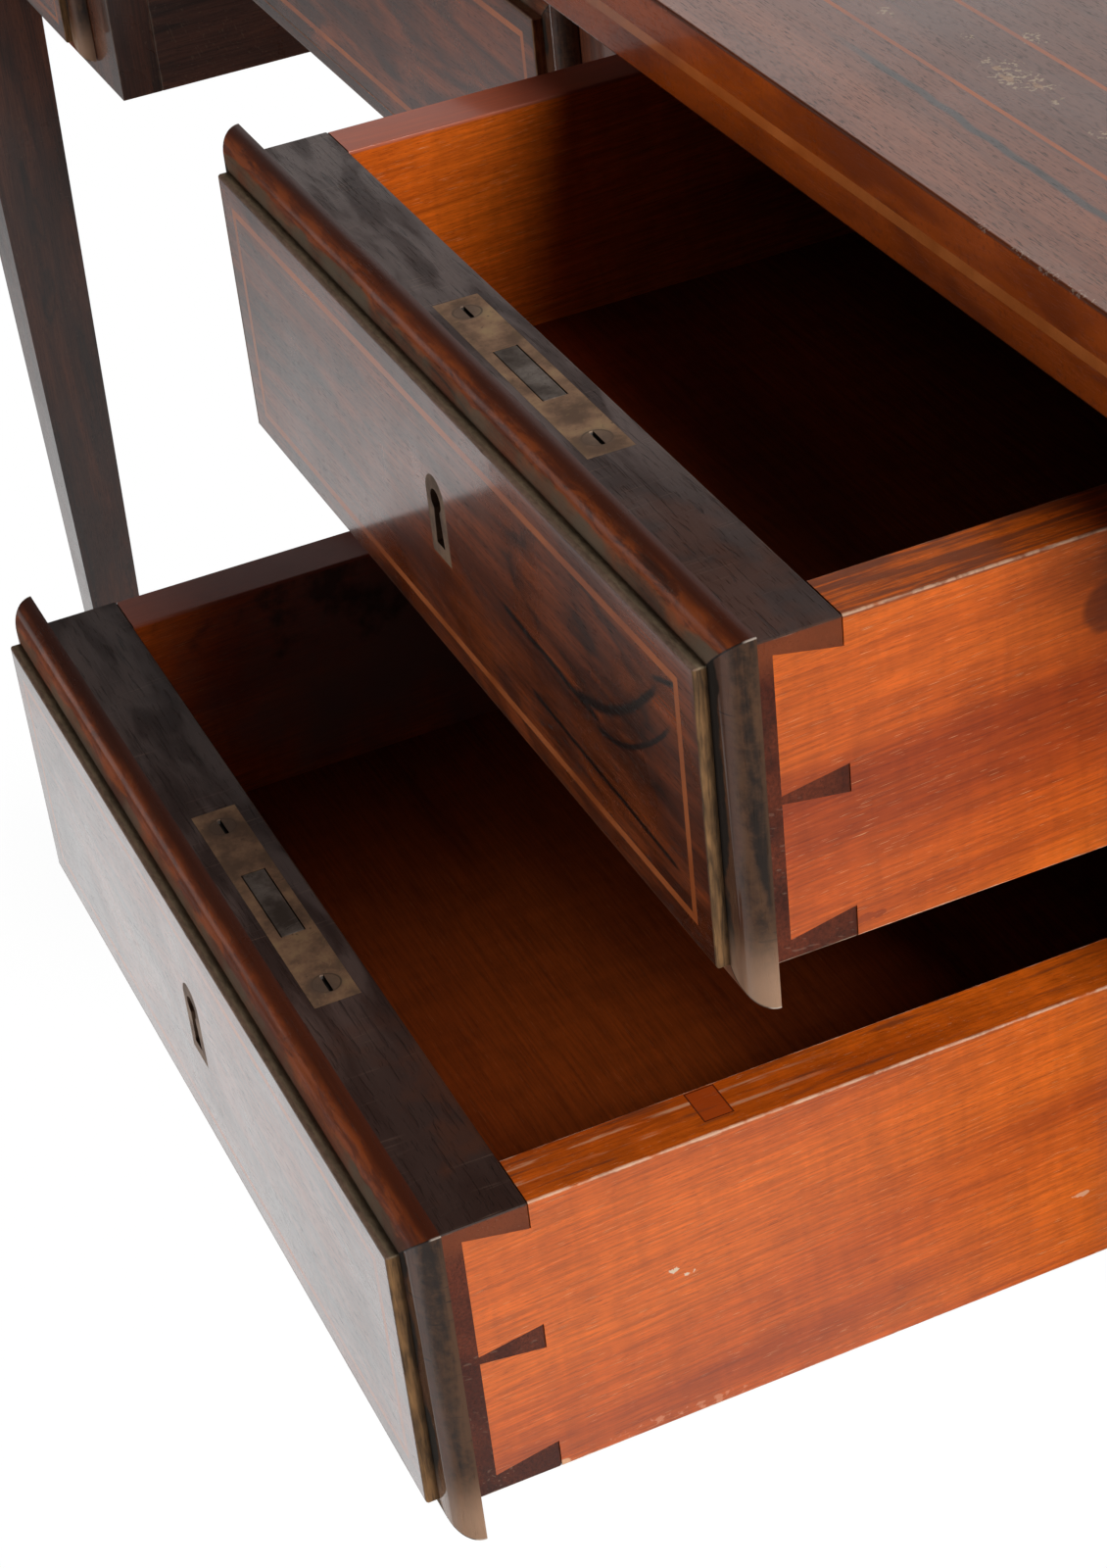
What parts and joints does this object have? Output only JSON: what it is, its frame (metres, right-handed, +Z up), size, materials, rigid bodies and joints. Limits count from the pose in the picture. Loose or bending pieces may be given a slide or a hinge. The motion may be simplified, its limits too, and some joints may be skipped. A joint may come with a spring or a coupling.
{
  "type": "desk",
  "caption": "Kneehole writing desk with an inlaid flat top, tapered square legs and lipped, dovetailed, lockable drawers either side of and above the kneehole.",
  "frame": {"origin": "on the floor, under the middle of the box round the desk as stored, with its two right-hand drawers standing open", "axes": "+Z up, the drawer fronts face -Y, +X to the right of someone who stands before the desk"},
  "size_m": [1.126, 0.7176, 0.762],
  "materials": {
    "rosewood": "french-polished dark figured rosewood",
    "mahogany": "waxed straight-grained mahogany",
    "drawer_bottom": "thin unpolished mahogany board",
    "inner_wood": "unpolished inner timber",
    "boxwood": "polished boxwood line",
    "brass": "aged, tarnished brass",
    "iron": "grey worn iron"
  },
  "bodies": {
    "carcase": {"bottom_rails": "rosewood", "centre_back_board": "rosewood", "centre_rail": "rosewood", "drawer_guides": "inner_wood", "drawer_kickers": "inner_wood", "drawer_runners": "inner_wood", "end_panel_left": "rosewood", "end_panel_right": "rosewood", "kneehole_panel_left": "rosewood", "kneehole_panel_right": "rosewood", "kneehole_stiles": "rosewood", "leg_back_left": "rosewood", "leg_back_right": "rosewood", "leg_front_left": "rosewood", "leg_front_right": "rosewood", "mid_rails": "rosewood", "pedestal_back_boards": "rosewood", "top_board": "rosewood", "top_rail": "rosewood", "top_screws": "iron", "top_stringing": "boxwood"},
    "upper_right_drawer": {"upper_right_drawer_back": "mahogany", "upper_right_drawer_bottom": "drawer_bottom", "upper_right_drawer_face_panel": "rosewood", "upper_right_drawer_front": "rosewood", "upper_right_drawer_lock": "brass", "upper_right_drawer_moulding": "rosewood", "upper_right_drawer_sides": "mahogany", "upper_right_drawer_stringing": "boxwood"},
    "upper_right_bolt": {"upper_right_drawer_bolt": "iron"},
    "lower_right_drawer": {"lower_right_drawer_back": "mahogany", "lower_right_drawer_bottom": "drawer_bottom", "lower_right_drawer_face_panel": "rosewood", "lower_right_drawer_front": "rosewood", "lower_right_drawer_lock": "brass", "lower_right_drawer_moulding": "rosewood", "lower_right_drawer_sides": "mahogany", "lower_right_drawer_stringing": "boxwood"},
    "lower_right_bolt": {"lower_right_drawer_bolt": "iron"},
    "upper_left_drawer": {"upper_left_drawer_box": "mahogany", "upper_left_drawer_face_panel": "rosewood", "upper_left_drawer_front": "rosewood", "upper_left_drawer_lock": "brass", "upper_left_drawer_moulding": "rosewood", "upper_left_drawer_stringing": "boxwood"},
    "upper_left_bolt": {"upper_left_drawer_bolt": "iron"},
    "lower_left_drawer": {"lower_left_drawer_box": "mahogany", "lower_left_drawer_face_panel": "rosewood", "lower_left_drawer_front": "rosewood", "lower_left_drawer_lock": "brass", "lower_left_drawer_moulding": "rosewood", "lower_left_drawer_stringing": "boxwood"},
    "lower_left_bolt": {"lower_left_drawer_bolt": "iron"},
    "centre_drawer": {"centre_drawer_box": "mahogany", "centre_drawer_face_panel": "rosewood", "centre_drawer_front": "rosewood", "centre_drawer_lock": "brass", "centre_drawer_moulding": "rosewood", "centre_drawer_stringing": "boxwood"},
    "centre_bolt": {"centre_drawer_bolt": "iron"}
  },
  "joints": [
    {"name": "upper_right_drawer_slide", "type": "slide", "parent": "carcase", "child": "upper_right_drawer", "axis": [0, -1, 0], "range_m": [-0.0955, 0.2345]},
    {"name": "upper_right_bolt_slide", "type": "slide", "parent": "upper_right_drawer", "child": "upper_right_bolt", "axis": [0, 0, 1], "range_m": [0, 0.006]},
    {"name": "lower_right_drawer_slide", "type": "slide", "parent": "carcase", "child": "lower_right_drawer", "axis": [0, -1, 0], "range_m": [-0.1654, 0.1646]},
    {"name": "lower_right_bolt_slide", "type": "slide", "parent": "lower_right_drawer", "child": "lower_right_bolt", "axis": [0, 0, 1], "range_m": [0, 0.006]},
    {"name": "upper_left_drawer_slide", "type": "slide", "parent": "carcase", "child": "upper_left_drawer", "axis": [0, -1, 0], "range_m": [0, 0.33]},
    {"name": "upper_left_bolt_slide", "type": "slide", "parent": "upper_left_drawer", "child": "upper_left_bolt", "axis": [0, 0, 1], "range_m": [0, 0.006]},
    {"name": "lower_left_drawer_slide", "type": "slide", "parent": "carcase", "child": "lower_left_drawer", "axis": [0, -1, 0], "range_m": [0, 0.33]},
    {"name": "lower_left_bolt_slide", "type": "slide", "parent": "lower_left_drawer", "child": "lower_left_bolt", "axis": [0, 0, 1], "range_m": [0, 0.006]},
    {"name": "centre_drawer_slide", "type": "slide", "parent": "carcase", "child": "centre_drawer", "axis": [0, -1, 0], "range_m": [0, 0.33]},
    {"name": "centre_bolt_slide", "type": "slide", "parent": "centre_drawer", "child": "centre_bolt", "axis": [0, 0, 1], "range_m": [0, 0.006]}
  ]
}
